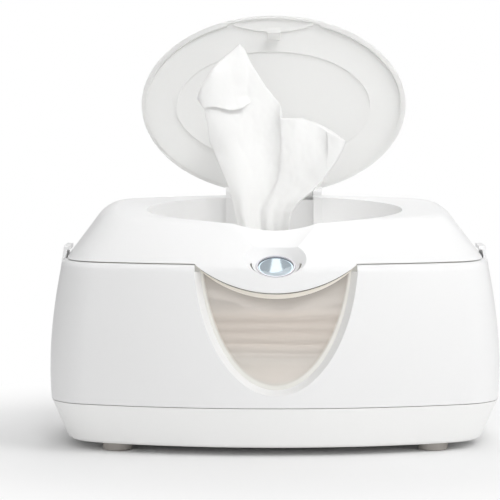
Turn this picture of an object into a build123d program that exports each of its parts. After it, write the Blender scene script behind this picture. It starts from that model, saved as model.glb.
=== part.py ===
from build123d import *
from math import atan, cos, degrees, radians, sin, tan
import os

# Baby wipe warmer: a heated tub of folded wipes with a front window, a hinged cover held
# by two side latches, and a spring-up oval lid that a push button releases.
# Millimetres. X runs across the front, Y from the front (-) to the back (+), Z is up.
# The origin lies on the table top, below the middle of the tub. The oval lid is open.

# ---- Tub and base: bowed plan outline, drawn in above and below the widest level ----
tub_width = 280.0
tub_depth = 186.0
side_bow = 7.0
end_bow = 29.0
corner_radius = 34.0
foot_height = 5.0
base_seam = 30.0
widest_level = 45.0
upper_level = 85.0
tub_top = 114.6
base_draw_in = 10.7
base_end_draw_in = 9.2
base_top_draw_in = 0.6
upper_draw_in = 2.8
upper_end_draw_in = 1.4
top_draw_in = 8.0
top_end_draw_in = 4.0
tub_wall = 3.0
base_wall = 2.8
base_edge_radius = 3.5
base_lip_height = 4.0
base_lip_wall = 1.8
rim_thickness = 6.0
rim_radius = 5.5
rim_side_margin = 20.0
rim_end_margin = 17.0
rim_side_bow = 5.0
rim_end_bow = 20.0
rim_corner_radius = 22.0
rim_rebate_width = 3.4
rim_rebate_depth = 1.6
seam_gap = 0.6

# ---- Feet, screws and the electrical parts in the base ----
foot_radius = 9.0
foot_pocket = 1.0
foot_side_margin = 44.0
foot_end_margin = 41.0
foot_edge_radius = 1.2
screw_side_margin = 19.0
screw_y = 24.0
screw_radius = 1.5
screw_head_radius = 3.0
screw_head_height = 2.0
screw_slot_length = 3.6
screw_slot_width = 0.8
screw_slot_depth = 0.9
boss_radius = 4.5
boss_top = 47.0
boss_rib_length = 17.0
boss_rib_half_width = 1.0
boss_rib_rise = 4.0
screw_end_gap = 4.0
board_post_radius = 2.5
plate_length = 180.0
plate_depth = 100.0
plate_corner = 6.0
plate_thickness = 1.5
film_thickness = 0.3
film_margin = 4.0
cutoff_radius = 8.0
cutoff_height = 6.0
cutoff_cap_radius = 5.5
cutoff_cap_height = 1.2
board_length = 62.0
board_depth = 38.0
board_thickness = 1.6
board_x = 40.0
board_back_margin = 61.0
board_hole_inset = 4.0
board_standoff = 5.0
relay_size = (15.0, 12.0, 9.0)
relay_place = (-14.0, -8.0)
chip_size = (10.0, 8.0, 2.2)
chip_place = (8.0, -8.0)
capacitor_radius = 3.2
capacitor_height = 9.0
capacitor_places = [(-22.0, 10.0), (-12.0, 10.0)]
jack_x = 66.0
jack_z = 18.0
jack_radius = 5.4
jack_bore = 3.1
jack_pin = 1.0
jack_length = 15.0
jack_depth = 9.0
jack_back_margin = 11.5
lead_radius = 0.9
lead_spread = 2.2
lead_riser_place = (12.0, 6.0)

# ---- Inner tub and the wipes in it ----
liner_floor = 36.0
liner_wall = 2.0
liner_flare = 3.0
liner_view_half_width = 46.0
liner_view_low = 42.0
liner_view_margin = 38.0
wipe_length = 184.0
wipe_depth = 104.0
wipe_layer = 4.8
wipe_layers = 10
wipe_y = -6.0
wipe_corner = 10.0
layer_groove = 1.0
layer_groove_height = 0.8
cloth_thickness = 0.9

# ---- Cover: sloped sides rising to a tilted deck, with an oval well ----
cover_wall = 2.6
deck_tilt = 6.5
deck_height = 143.3
deck_side_margin = 33.0
deck_front_margin = 48.0
deck_back_margin = 26.0
deck_side_bow = 5.0
deck_front_bow = 25.0
deck_back_bow = 16.0
deck_corner_radius = 26.0
deck_edge_radius = 14.0
cover_side_draw_in = 2.8
cover_front_draw_in = 4.1
cover_back_draw_in = 2.6
well_side_margin = 27.0
well_front_reach = 3.0
well_back_margin = 15.0
well_floor_rise = 2.4
well_floor_thickness = 2.0
well_wall = 2.4
apron_half_width = 48.0
apron_drop = 16.2
apron_reach = 22.6
apron_low_draw = 1.9
apron_shelf_drop = 4.0
mechanism_drop = 16.6
mechanism_back_margin = 33.0
orifice_half_width = 28.0
orifice_half_depth = 12.0
orifice_ring = 9.0
orifice_lip = 6.0
ring_thickness = 1.8
liner_plate_side_margin = 22.0
liner_plate_front_margin = 23.0
liner_plate_back_margin = 17.0
cover_screw_margin = 8.0
cover_screw_y = 34.0
cover_screw_length = 10.0

# ---- Button, its chrome ring, and the scoop that leads to it ----
ramp_ease = 0.93
ramp_depth = 6.35
button_front_margin = 16.0
button_well = 0.5
ring_radius = 12.0
ring_depth = 3.0
button_radius = 10.4
button_dish = 1.3
dish_margin = 0.9
button_travel = 2.2
button_thickness = 2.0
recess_floor = -0.2
ring_proud = 0.3
ring_edge = 0.5
button_top = -0.6
housing_wall = 2.2
housing_low = -8.4
housing_floor = 1.2
scoop_floor = 3.1
recess_slope = 3.4 / 3.1
scoop_half_width = 32.0
scoop_neck_half_width = 13.0
scoop_edge = 6.6
scoop_top = 36.0
scoop_bottom = 8.0

# ---- Latch slider under the ramp, in the ramp's own up-slope and height directions ----
slider_half_width = 5.0
slab_height = 0.9
guide_low = -8.9
guide_length = 4.5
guide_wall = 2.3
guide_bar = 1.2
slider_low = -6.8
slider_high = -5.0
nose_low = -3.6
nose_high = -1.2
nose_past_well = 3.04
nose_half_width = 4.0
riser_start = 20.5
riser_length = 2.5
slider_front = -6.0
stem_back = 4.5
stem_half_width = 3.0
wedge_offset = 4.9
slot_play = 0.25
catch_half_width = 4.0
catch_drop = 1.6
catch_reach = 1.6
catch_thickness = 1.8

# ---- Window in the front of the tub ----
window_centre_rise = 15.4
window_half_width = 50.0
window_half_height = 92.7
window_lean = 5.5
window_rim = 4.4
window_recess = 5.5
window_boss = 6.0
pane_thickness = 2.0
pane_overlap = 4.0
pane_band = 2.6
band_inset = 0.8
lip_notch_half_width = 24.0
lip_notch_margin = 15.0

# ---- Lid ----
lid_side_overlap = 6.0
lid_end_overlap = 8.5
lid_thickness = 1.8
lid_height = 4.5
lid_edge_radius = 3.8
lid_lift = 0.6
lid_lean = 8.0
lid_back_reach = 0.5
lid_pivot_margin = 7.0
lid_pivot_proud = 0.98
lid_pin_radius = 1.5
lid_knuckle_radius = 3.4
hinge_half_width = 31.0
hinge_ear = 5.5
trough_wall = 2.6
trough_drop = 4.0
trough_reach = 19.0
trough_play = 1.0
pad_reach = 11.0
pad_back_wall = 2.8
ear_reach = 13.0
bead_side_margin = 22.0
bead_end_margin = 22.1
bead_width = 1.4
bead_height = 1.6
lip_half_width = 26.0
lip_depth = 10.0
lip_bow = 4.6
lid_seal_width = 1.4
lip_wall = 1.6
spring_wire = 0.35
spring_radius = 2.4
spring_bay = 5.0
spring_turns = 5
button_wire = 0.25
button_coil = 1.6
button_coil_x = 7.8
button_turns = 4
coil_play = 0.15

# ---- Hinge between tub and cover, and the side latches ----
cover_pivot_margin = 4.0
cover_pivot_rise = 0.3
cover_knuckle_radius = 3.6
cover_pin_radius = 1.5
cover_hinge_ends = [8.0, 32.0, 44.0]
latch_half_width = 15.0
latch_pivot_margin = 9.4
latch_pivot_drop = 14.6
latch_pin_radius = 1.0
latch_pin_reach = 2.5
latch_knuckle_radius = 2.2
ledge_rise = 4.6

# ---- Fits ----
pin_clearance = 0.05
gap = 0.4

# ---- Places that follow from the sizes above ----
seam_level = tub_top + seam_gap
rim_opening_half_width = tub_width / 2 - rim_side_margin
rim_opening_half_depth = tub_depth / 2 - rim_end_margin
deck_half_width = tub_width / 2 - deck_side_margin
deck_front = deck_front_margin - tub_depth / 2
deck_back = tub_depth / 2 - deck_back_margin
cover_front = cover_front_draw_in + top_end_draw_in - tub_depth / 2
well_half_width = deck_half_width - well_side_margin
well_front = deck_front - well_front_reach
well_back = deck_back - well_back_margin
well_half_depth = (well_back - well_front) / 2
well_centre_y = (well_back + well_front) / 2
well_floor = seam_level + well_floor_rise
cover_screw_x = well_half_width + cover_screw_margin
cover_pivot_y = tub_depth / 2 - cover_pivot_margin
cover_pivot_z = tub_top + cover_pivot_rise
mechanism_back = mechanism_back_margin - tub_depth / 2

# The cover's front and side slopes, and the ramp cut into the front one for the button.
deck_rise = tan(radians(deck_tilt))
front_slope = degrees(atan((deck_height + deck_front * deck_rise - seam_level) / (deck_front - cover_front)))
side_run = tub_width / 2 - top_draw_in - cover_side_draw_in - deck_half_width
side_slope = degrees(atan((deck_height - seam_level) / side_run))
ramp_tilt = front_slope - ramp_ease
button_y = button_front_margin - tub_depth / 2
button_z = seam_level + (button_y - cover_front) * tan(radians(front_slope)) - ramp_depth
nose_reach = (well_front - button_y) / cos(radians(ramp_tilt)) + nose_past_well

lid_half_width = well_half_width + lid_side_overlap
lid_half_depth = well_half_depth + lid_end_overlap
lid_middle = lid_half_depth - lid_back_reach
lid_pivot_y = well_back + lid_pivot_margin
lid_pivot_z = deck_height + lid_pivot_y * deck_rise + lid_pivot_proud
close_angle = 90.0 + lid_lean + deck_tilt

latch_pivot_x = tub_width / 2 - latch_pivot_margin
latch_pivot_z = tub_top - latch_pivot_drop

all_round = [(1, 1), (1, -1), (-1, -1), (-1, 1)]
foot_x = tub_width / 2 - foot_side_margin
foot_y = tub_depth / 2 - foot_end_margin
foot_places = [(x * foot_x, y * foot_y) for x, y in all_round]
screw_x = tub_width / 2 - screw_side_margin
screw_places = [(x * screw_x, y * screw_y) for x, y in all_round]
cover_screw_places = [(x * cover_screw_x, y * cover_screw_y) for x, y in all_round]
board_y = tub_depth / 2 - board_back_margin
board_hole_x = board_length / 2 - board_hole_inset
board_hole_y = board_depth / 2 - board_hole_inset
board_holes = [(board_x + x * board_hole_x, board_y + y * board_hole_y) for x, y in all_round]

deck = Plane(
    origin=(0, 0, deck_height),
    x_dir=(1, 0, 0),
    z_dir=(0, -sin(radians(deck_tilt)), cos(radians(deck_tilt))),
)
ramp = Plane(
    origin=(0, button_y, button_z),
    x_dir=(1, 0, 0),
    z_dir=(0, -sin(radians(ramp_tilt)), cos(radians(ramp_tilt))),
)
# Section plane of the ramp: first direction up the slope, second away from the surface.
ramp_side = Plane(
    origin=(0, button_y, button_z),
    x_dir=(0, cos(radians(ramp_tilt)), sin(radians(ramp_tilt))),
    z_dir=(1, 0, 0),
)
# The front plane of the window leans back with the tub's front.
window_low = tub_top + window_centre_rise - window_half_height
window_plane = Plane(
    origin=(0, -tub_depth / 2, window_low),
    x_dir=(1, 0, 0),
    z_dir=(0, -cos(radians(window_lean)), sin(radians(window_lean))),
)
# The open lid: first direction across, second from the hinge to the front lip, third down
# through the lid's underside, which faces the front while the lid is open.
lid_plane = Plane(
    origin=(0, lid_pivot_y, lid_pivot_z),
    x_dir=(1, 0, 0),
    z_dir=(0, -cos(radians(lid_lean)), sin(radians(lid_lean))),
)


def at(places, level):
    """The places at one level, for a row of bosses or holes."""
    return [(x, y, level) for x, y in places]


def post(radius, height):
    """A cylinder standing on the origin."""
    return Cylinder(radius, height, align=(Align.CENTER, Align.CENTER, Align.MIN), mode=Mode.PRIVATE)


def posts(places, level, radius, height):
    """Equal cylinders standing at places on one level."""
    return [Pos(x, y, level) * post(radius, height) for x, y in places]


def from_latch(points):
    """Points drawn from the latch's pivot across and from the tub's top up."""
    return [(latch_pivot_x + across, tub_top + up) for across, up in points]


def opened(y, z):
    """Where a point of the closed lid lies once the lid is open, in Y and Z."""
    turn = radians(-close_angle)
    across = y - lid_pivot_y
    up = z - lid_pivot_z
    return (
        lid_pivot_y + across * cos(turn) - up * sin(turn),
        lid_pivot_z + across * sin(turn) + up * cos(turn),
    )


def on_ramp(slope, height):
    """World Y and Z of a point given along the ramp and above it."""
    tilt = radians(ramp_tilt)
    return (
        button_y + slope * cos(tilt) - height * sin(tilt),
        button_z + slope * sin(tilt) + height * cos(tilt),
    )


def outline(plane, half_width, front, back, side, front_arc, back_arc, corner):
    """A bowed rectangle with rounded corners, as a sketch on the plane."""
    corner_x = half_width - side
    corner_front = front + front_arc
    corner_back = back - back_arc
    middle = (corner_front + corner_back) / 2
    with BuildSketch(plane) as drawn:
        with BuildLine():
            ThreePointArc((-corner_x, corner_front), (0, front), (corner_x, corner_front))
            ThreePointArc((corner_x, corner_front), (half_width, middle), (corner_x, corner_back))
            ThreePointArc((corner_x, corner_back), (0, back), (-corner_x, corner_back))
            ThreePointArc((-corner_x, corner_back), (-half_width, middle), (-corner_x, corner_front))
        make_face()
        fillet(drawn.vertices(), corner)
    return drawn.sketch


def tub_outline(height, draw_in, end_draw_in, wall=0.0):
    """The tub's plan outline at a height, drawn in from its widest size, less a wall."""
    half_depth = tub_depth / 2 - end_draw_in - wall
    return outline(
        Plane.XY.offset(height),
        tub_width / 2 - draw_in - wall,
        -half_depth,
        half_depth,
        side_bow,
        end_bow,
        end_bow,
        corner_radius - wall,
    )


def tub_sections(wall=0.0):
    """The outlines that shape the tub from its lower seam up to its top."""
    return [
        tub_outline(base_seam, base_top_draw_in, base_top_draw_in, wall),
        tub_outline(widest_level, 0, 0, wall),
        tub_outline(upper_level, upper_draw_in, upper_end_draw_in, wall),
        tub_outline(tub_top, top_draw_in, top_end_draw_in, wall),
    ]


def cover_seam(level, side_wall, front_wall):
    """The cover's outline at the seam, less its wall at the sides and at the front."""
    return outline(
        Plane.XY.offset(level),
        tub_width / 2 - top_draw_in - cover_side_draw_in - side_wall,
        -(tub_depth / 2 - top_end_draw_in - cover_front_draw_in - front_wall),
        tub_depth / 2 - top_end_draw_in - cover_back_draw_in - side_wall,
        side_bow,
        end_bow,
        end_bow,
        corner_radius - cover_side_draw_in - side_wall,
    )


def deck_outline(drop, draw_in):
    """The deck's outline, lowered by a wall and drawn in."""
    return outline(
        deck.offset(-drop),
        deck_half_width - draw_in,
        deck_front + draw_in,
        deck_back - draw_in,
        deck_side_bow,
        deck_front_bow,
        deck_back_bow,
        deck_corner_radius - draw_in,
    )


def smile(half_width, drop, top):
    """Crescent below the seam, on the front plane: flat on top, curved below."""
    with BuildSketch(Plane.XZ) as drawn:
        with BuildLine():
            ThreePointArc((-half_width, tub_top), (0, tub_top - drop), (half_width, tub_top))
            Polyline((half_width, tub_top), (half_width, top), (-half_width, top), (-half_width, tub_top))
        make_face()
    return drawn.sketch


def window_outline(forward, grow):
    """The window's oval on its leaning front plane, moved forward and grown by an amount."""
    with BuildSketch(window_plane.offset(forward)) as drawn:
        with Locations((0, window_half_height)):
            Ellipse(window_half_width + grow, window_half_height + grow)
    return drawn.sketch


def oval(plane, x, y, half_width, half_depth):
    """An ellipse on a plane."""
    with BuildSketch(plane) as drawn:
        with Locations((x, y)):
            Ellipse(half_width, half_depth)
    return drawn.sketch


def rim_outline(height, grow):
    """The rounded oblong that the inner tub hangs in, grown or shrunk."""
    half_depth = rim_opening_half_depth + grow
    return outline(
        Plane.XY.offset(height),
        rim_opening_half_width + grow,
        -half_depth,
        half_depth,
        rim_side_bow,
        rim_end_bow,
        rim_end_bow,
        rim_corner_radius + grow,
    )


def block(low, high):
    """A box between two opposite corners."""
    size = [b - a for a, b in zip(low, high)]
    return Pos(*low) * Box(*size, align=(Align.MIN,) * 3, mode=Mode.PRIVATE)


def ramp_block(half_width, slope, height):
    """A box under the ramp, centred across, given up the slope and above the surface."""
    low = (-half_width, slope[0], height[0])
    return ramp.location * block(low, (half_width, slope[1], height[1]))


def ramp_round(x, slope, radius, low, high):
    """A cylinder square to the ramp between two heights above it."""
    return ramp.location * Pos(x, slope, low) * post(radius, high - low)


def rod(x_start, x_end, y, z, radius):
    """A cylinder along X."""
    return Pos(x_start, y, z) * Rot(0, 90, 0) * post(radius, x_end - x_start)


def rod_back(x, z, y_start, y_end, radius):
    """A cylinder along Y."""
    return Pos(x, y_start, z) * Rot(-90, 0, 0) * post(radius, y_end - y_start)


def slab(plane, points, half_width):
    """A flat shape drawn by its corners and thickened to both sides of a plane."""
    with BuildPart() as made:
        with BuildSketch(plane):
            with BuildLine():
                Polyline(*points, close=True)
            make_face()
        extrude(amount=half_width, both=True)
    return made.part


def end_shape(points, half_width, side):
    """A shape drawn in X and Z for the right end, or mirrored for the left, along Y."""
    return slab(Plane.XZ, [(side * x, z) for x, z in points], half_width)


def screw(top, length):
    """A pan head screw pointing up, its head's underside at the top of the counterbore."""
    with BuildPart() as made:
        with BuildSketch(Plane.XY.offset(top - screw_head_height)):
            Circle(screw_head_radius)
        extrude(amount=screw_head_height)
        with BuildSketch(Plane.XY.offset(top)):
            Circle(screw_radius)
        extrude(amount=length)
        with BuildSketch(Plane.XY.offset(top - screw_head_height)):
            Rectangle(screw_slot_width, screw_slot_length)
            Rectangle(screw_slot_length, screw_slot_width)
        extrude(amount=screw_slot_depth, mode=Mode.SUBTRACT)
    return made.part


def save(made, name):
    """Label a finished piece and write it to its own file."""
    made.part.label = name
    export_step(made.part, f"parts/{name}.step")


def coil(plane, pitch, height, radius, wire):
    """A coil spring along the plane's normal."""
    with BuildPart() as made:
        with BuildLine() as path:
            Helix(pitch, height, radius)
        with BuildSketch(Plane(origin=path.line @ 0, z_dir=path.line % 0)):
            Circle(wire)
        sweep(path=path.wires()[0], is_frenet=True)
    return plane.location * made.part


os.makedirs("parts", exist_ok=True)

# ------------------------------------------------------------------ shared forms
with BuildPart() as tub_form:
    loft(tub_sections())

with BuildPart() as tub_rounded:
    add(tub_form.part)
    fillet(tub_rounded.faces().sort_by(Axis.Z)[-1].edges(), rim_radius)

with BuildPart() as tub_cavity:
    loft(tub_sections(tub_wall))

with BuildPart() as tub_seat:
    loft(tub_sections(window_recess))

with BuildPart() as pane_inner:
    loft(tub_sections(window_recess + pane_thickness))

with BuildPart() as pane_back:
    loft(tub_sections(window_recess + pane_thickness + gap))

with BuildPart() as band_front:
    loft(tub_sections(band_inset))

with BuildPart() as cover_form:
    loft([cover_seam(seam_level, 0, 0), deck_outline(0, 0)], ruled=True)
    fillet(cover_form.faces().sort_by(Axis.Z)[-1].edges(), deck_edge_radius)

# ------------------------------------------------------------------ base tray and feet
base_floor = foot_height + base_wall
with BuildPart() as base_tray:
    loft(
        [
            tub_outline(foot_height, base_draw_in, base_end_draw_in),
            tub_outline(base_seam - gap, base_top_draw_in, base_top_draw_in),
        ],
        ruled=True,
    )
    fillet(base_tray.faces().sort_by(Axis.Z)[0].edges(), base_edge_radius)
    loft(
        [
            tub_outline(base_floor, base_draw_in, base_end_draw_in, base_wall),
            tub_outline(base_seam - gap, base_top_draw_in, base_top_draw_in, base_wall),
        ],
        ruled=True,
        mode=Mode.SUBTRACT,
    )
    # The locating lip starts on a short step inside the wall and rises past the seam.
    lip_foot = base_seam - 5 * gap
    lip_hollow = lip_foot - 3 * gap
    lip_inset = tub_wall + gap
    extrude(tub_outline(lip_foot, base_top_draw_in, base_top_draw_in, base_wall - gap), amount=4 * gap)
    extrude(
        tub_outline(lip_foot, base_top_draw_in, base_top_draw_in, lip_inset),
        amount=base_seam + base_lip_height - lip_foot,
    )
    extrude(
        tub_outline(lip_hollow, base_top_draw_in, base_top_draw_in, lip_inset + base_lip_wall),
        amount=base_seam + base_lip_height - lip_hollow,
        mode=Mode.SUBTRACT,
    )
    add(
        block(
            (-lip_notch_half_width, -tub_depth / 2, base_seam - gap),
            (lip_notch_half_width, lip_notch_margin - tub_depth / 2, 2 * base_seam),
        ),
        mode=Mode.SUBTRACT,
    )
    add(posts(foot_places, foot_height, foot_radius + pin_clearance, foot_pocket), mode=Mode.SUBTRACT)
    add(posts(screw_places, base_floor, boss_radius, base_seam - base_floor))
    add(posts(screw_places, foot_height, screw_head_radius + gap, 2 * screw_head_height), mode=Mode.SUBTRACT)
    add(posts(screw_places, foot_height, screw_radius + gap / 2, base_seam), mode=Mode.SUBTRACT)
    add(posts(board_holes, base_floor, board_post_radius, board_standoff))
    add(rod_back(jack_x, jack_z, tub_depth / 4, tub_depth / 2, jack_radius + gap / 2), mode=Mode.SUBTRACT)
save(base_tray, "base_tray")

with BuildPart() as rubber_feet:
    add(posts(foot_places, 0, foot_radius, foot_height + foot_pocket))
    fillet(rubber_feet.edges().group_by(Axis.Z)[0], foot_edge_radius)
save(rubber_feet, "rubber_feet")

screw_seat = foot_height + 2 * screw_head_height
base_screw = screw(screw_seat, boss_top - screw_seat - screw_end_gap)
with BuildPart() as base_screws:
    with Locations(*at(screw_places, 0)):
        add(base_screw)
save(base_screws, "base_screws")

# ------------------------------------------------------------------ tub shell
flange_level = tub_top - rim_thickness
cavity_below_flange = split(
    tub_cavity.part, bisect_by=Plane.XY.offset(flange_level), keep=Keep.BOTTOM, mode=Mode.PRIVATE
)
window_through = -5 * window_boss
window_prism = extrude(window_outline(window_boss, window_boss), amount=window_through)
pane_grow = pane_overlap - window_rim
window_back_prism = extrude(window_outline(window_boss, pane_grow), amount=window_through)
pane_pocket_prism = extrude(window_outline(window_boss, pane_grow + gap), amount=window_through)
window_rim_cut = loft([window_outline(1, 1), window_outline(-window_recess - 1, -window_rim)])
apron_notch = extrude(smile(apron_half_width + gap, apron_drop + gap, 2 * tub_top), amount=tub_depth)
apron_notch_half = apron_half_width + gap
notch_width = ring_radius + housing_wall + 3 * gap
mechanism_notch = block(
    (-notch_width, -tub_depth / 2, tub_top - mechanism_drop),
    (notch_width, mechanism_back, 2 * tub_top),
)
apron_shelf = block(
    (-apron_notch_half, -tub_depth / 2, tub_top - apron_shelf_drop),
    (apron_notch_half, mechanism_back, 2 * tub_top),
)
# Side latches: the pad on the tub's inside, the pocket in its wall, and the shared pin line.
latch_pad = from_latch([(-5.4, -20.6), (latch_pivot_margin, -20.6), (latch_pivot_margin, 0), (-5.4, 0)])
latch_outside = latch_pivot_margin + 5
latch_pocket = from_latch(
    [(-2.6, -18.2), (latch_outside, -18.2), (latch_outside, 9), (-1.2, 9), (-1.0, -4.2), (-2.6, -10.6)]
)
latch_pin_end = latch_half_width + latch_pin_reach
knuckle_low = cover_hinge_ends[1] + gap / 2

with BuildPart() as window_frame:
    add(window_prism)
    add(tub_rounded.part, mode=Mode.INTERSECT)
    add(tub_seat.part, mode=Mode.SUBTRACT)

with BuildPart() as window_cut:
    add(window_rim_cut)
    extrude(window_outline(1, 1), amount=window_boss)
    add(tub_seat.part, mode=Mode.SUBTRACT)

with BuildPart() as pane_pocket:
    add(pane_pocket_prism)
    add(tub_seat.part, mode=Mode.INTERSECT)
    add(pane_back.part, mode=Mode.SUBTRACT)

with BuildPart() as apron_cut:
    add(apron_notch)
    add(tub_cavity.part, mode=Mode.SUBTRACT)

with BuildPart() as latch_housings:
    for side in (1, -1):
        add(end_shape(latch_pad, latch_pin_end + gap, side))
    add(tub_rounded.part, mode=Mode.INTERSECT)

with BuildPart() as tub_shell:
    add(tub_rounded.part)
    add(cavity_below_flange, mode=Mode.SUBTRACT)
    extrude(rim_outline(flange_level - 1, 0), amount=rim_thickness + 2, mode=Mode.SUBTRACT)
    rebate = rim_outline(tub_top - rim_rebate_depth, rim_rebate_width)
    extrude(rebate, amount=rim_rebate_depth, mode=Mode.SUBTRACT)
    add(window_frame.part)
    add(pane_pocket.part, mode=Mode.SUBTRACT)
    add(window_cut.part, mode=Mode.SUBTRACT)
    add(apron_cut.part, mode=Mode.SUBTRACT)
    add(mechanism_notch, mode=Mode.SUBTRACT)
    add(apron_shelf, mode=Mode.SUBTRACT)
    add(latch_housings.part)
    for side in (1, -1):
        add(end_shape(latch_pocket, latch_half_width + gap, side), mode=Mode.SUBTRACT)
        pin_x = side * latch_pivot_x
        pin_hole = latch_pin_radius + pin_clearance
        add(rod_back(pin_x, latch_pivot_z, -latch_pin_end, latch_pin_end, pin_hole), mode=Mode.SUBTRACT)
        low_x, high_x = sorted((side * knuckle_low, side * cover_hinge_ends[2]))
        add(rod(low_x, high_x, cover_pivot_y, cover_pivot_z, cover_knuckle_radius))
        add(
            block(
                (low_x, cover_pivot_y - 2 * cover_knuckle_radius, flange_level - cover_knuckle_radius / 2),
                (high_x, cover_pivot_y, cover_pivot_z),
            )
        )
        barrel = sorted((side * (cover_hinge_ends[0] - gap), side * knuckle_low))
        cut_radius = cover_knuckle_radius + gap
        add(rod(barrel[0], barrel[1], cover_pivot_y, cover_pivot_z, cut_radius), mode=Mode.SUBTRACT)
    hinge_end = cover_hinge_ends[2]
    add(
        rod(-hinge_end, hinge_end, cover_pivot_y, cover_pivot_z, cover_pin_radius + pin_clearance),
        mode=Mode.SUBTRACT,
    )
    add(posts(screw_places, base_seam + gap, boss_radius, boss_top - base_seam - gap))
    for x, y in all_round:
        rib_x = sorted((x * screw_x, x * (screw_x + boss_rib_length)))
        rib_y = y * screw_y
        add(
            block(
                (rib_x[0], rib_y - boss_rib_half_width, base_seam + boss_rib_rise),
                (rib_x[1], rib_y + boss_rib_half_width, boss_top),
            )
        )
    add(posts(screw_places, 0, screw_radius + pin_clearance, boss_top - 1), mode=Mode.SUBTRACT)
save(tub_shell, "tub_shell")

# ------------------------------------------------------------------ window pane
band_top = smile(apron_notch_half, apron_drop + 2 * gap, 2 * tub_top)
band_low = smile(apron_notch_half, apron_drop + 2 * gap + pane_band, 2 * tub_top)
band_oval = extrude(window_outline(window_boss, -window_rim - gap), amount=window_through)
with BuildPart() as window_band:
    add(extrude(band_low, amount=tub_depth, mode=Mode.PRIVATE))
    add(extrude(band_top, amount=tub_depth, mode=Mode.PRIVATE), mode=Mode.SUBTRACT)
    add(band_oval, mode=Mode.INTERSECT)
    add(band_front.part, mode=Mode.INTERSECT)
    add(pane_inner.part, mode=Mode.SUBTRACT)

with BuildPart() as window_pane:
    add(window_back_prism)
    add(tub_seat.part, mode=Mode.INTERSECT)
    add(pane_inner.part, mode=Mode.SUBTRACT)
    extrude(band_top, amount=tub_depth, mode=Mode.SUBTRACT)
    add(window_band.part)
save(window_pane, "window_pane")

# ------------------------------------------------------------------ inner tub, heater, wipes
with BuildPart() as inner_tub:
    loft([rim_outline(liner_floor, -gap - liner_flare), rim_outline(tub_top - gap, -gap)], ruled=True)
    flange_thickness = rim_rebate_depth - gap
    extrude(rim_outline(tub_top - rim_rebate_depth, rim_rebate_width - gap), amount=flange_thickness)
    loft(
        [
            rim_outline(liner_floor + liner_wall, -gap - liner_flare - liner_wall),
            rim_outline(tub_top, -gap - liner_wall),
        ],
        ruled=True,
        mode=Mode.SUBTRACT,
    )
    add(
        block(
            (-liner_view_half_width, -tub_depth / 2, liner_view_low),
            (liner_view_half_width, liner_view_margin - tub_depth / 2, 2 * tub_top),
        ),
        mode=Mode.SUBTRACT,
    )
save(inner_tub, "inner_tub")

with BuildPart() as heater_plate:
    with Locations((0, 0, liner_floor - plate_thickness)):
        Box(plate_length, plate_depth, plate_thickness, align=(Align.CENTER, Align.CENTER, Align.MIN))
    fillet(heater_plate.edges().filter_by(Axis.Z), plate_corner)
save(heater_plate, "heater_plate")

film_level = liner_floor - plate_thickness - film_thickness
with BuildPart() as heater_film:
    with Locations((0, 0, film_level)):
        Box(
            plate_length - 2 * film_margin,
            plate_depth - 2 * film_margin,
            film_thickness,
            align=(Align.CENTER, Align.CENTER, Align.MIN),
        )
save(heater_film, "heater_film")

with BuildPart() as thermal_cutoff:
    cap_level = film_level - cutoff_height
    add(posts([(-board_x, 0)], cap_level, cutoff_radius, cutoff_height))
    add(posts([(-board_x, 0)], cap_level - cutoff_cap_height, cutoff_cap_radius, cutoff_cap_height))
save(thermal_cutoff, "thermal_cutoff")

board_level = base_floor + board_standoff
board_top = board_level + board_thickness
with BuildPart() as control_board:
    with Locations((board_x, board_y, board_level)):
        Box(board_length, board_depth, board_thickness, align=(Align.CENTER, Align.CENTER, Align.MIN))
    for (part_x, part_y), part_size in ((relay_place, relay_size), (chip_place, chip_size)):
        with Locations((board_x + part_x, board_y + part_y, board_top)):
            Box(*part_size, align=(Align.CENTER, Align.CENTER, Align.MIN))
    capacitors = [(board_x + x, board_y + y) for x, y in capacitor_places]
    add(posts(capacitors, board_top, capacitor_radius, capacitor_height))
save(control_board, "control_board")

jack_back = tub_depth / 2 - jack_back_margin
jack_front = jack_back - jack_length
with BuildPart() as dc_jack:
    add(rod_back(jack_x, jack_z, jack_front, jack_back, jack_radius))
    add(rod_back(jack_x, jack_z, jack_back - jack_depth, jack_back, jack_bore), mode=Mode.SUBTRACT)
    add(rod_back(jack_x, jack_z, jack_front, jack_back - 1, jack_pin))
save(dc_jack, "dc_jack")

# Two supply leads bend from the jack down to the board; two more rise to the heater film.
bend = jack_z - board_top
lead_end = board_y + board_hole_y
turn_y = lead_end + bend
riser_x = board_x + lead_riser_place[0]
riser_y = board_y + lead_riser_place[1]
with BuildPart() as supply_leads:
    for lead_x in (jack_x - lead_spread, jack_x + lead_spread):
        with BuildSketch(Plane(origin=(lead_x, jack_front, jack_z), z_dir=(0, -1, 0))):
            Circle(lead_radius)
        extrude(amount=jack_front - turn_y)
        with BuildSketch(Plane(origin=(lead_x, turn_y, jack_z), z_dir=(0, 1, 0))):
            Circle(lead_radius)
        revolve(axis=Axis((lead_x, turn_y, board_top), (-1, 0, 0)), revolution_arc=90)
    risers = [(riser_x, riser_y), (riser_x + 2 * lead_spread, riser_y)]
    add(posts(risers, board_top, lead_radius, film_level - board_top))
save(supply_leads, "supply_leads")

stack_low = liner_floor + liner_wall
stack_top = stack_low + wipe_layers * wipe_layer
with BuildPart() as wipe_stack:
    for layer in range(wipe_layers):
        with BuildSketch(Plane.XY.offset(stack_low + layer * wipe_layer)):
            with Locations((0, wipe_y)):
                RectangleRounded(
                    wipe_length - 2 * layer_groove,
                    wipe_depth - 2 * layer_groove,
                    wipe_corner - layer_groove,
                )
        extrude(amount=wipe_layer)
        with BuildSketch(Plane.XY.offset(stack_low + layer * wipe_layer + layer_groove_height)):
            with Locations((0, wipe_y)):
                RectangleRounded(wipe_length, wipe_depth, wipe_corner)
        extrude(amount=wipe_layer - 2 * layer_groove_height)
save(wipe_stack, "wipe_stack")

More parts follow.
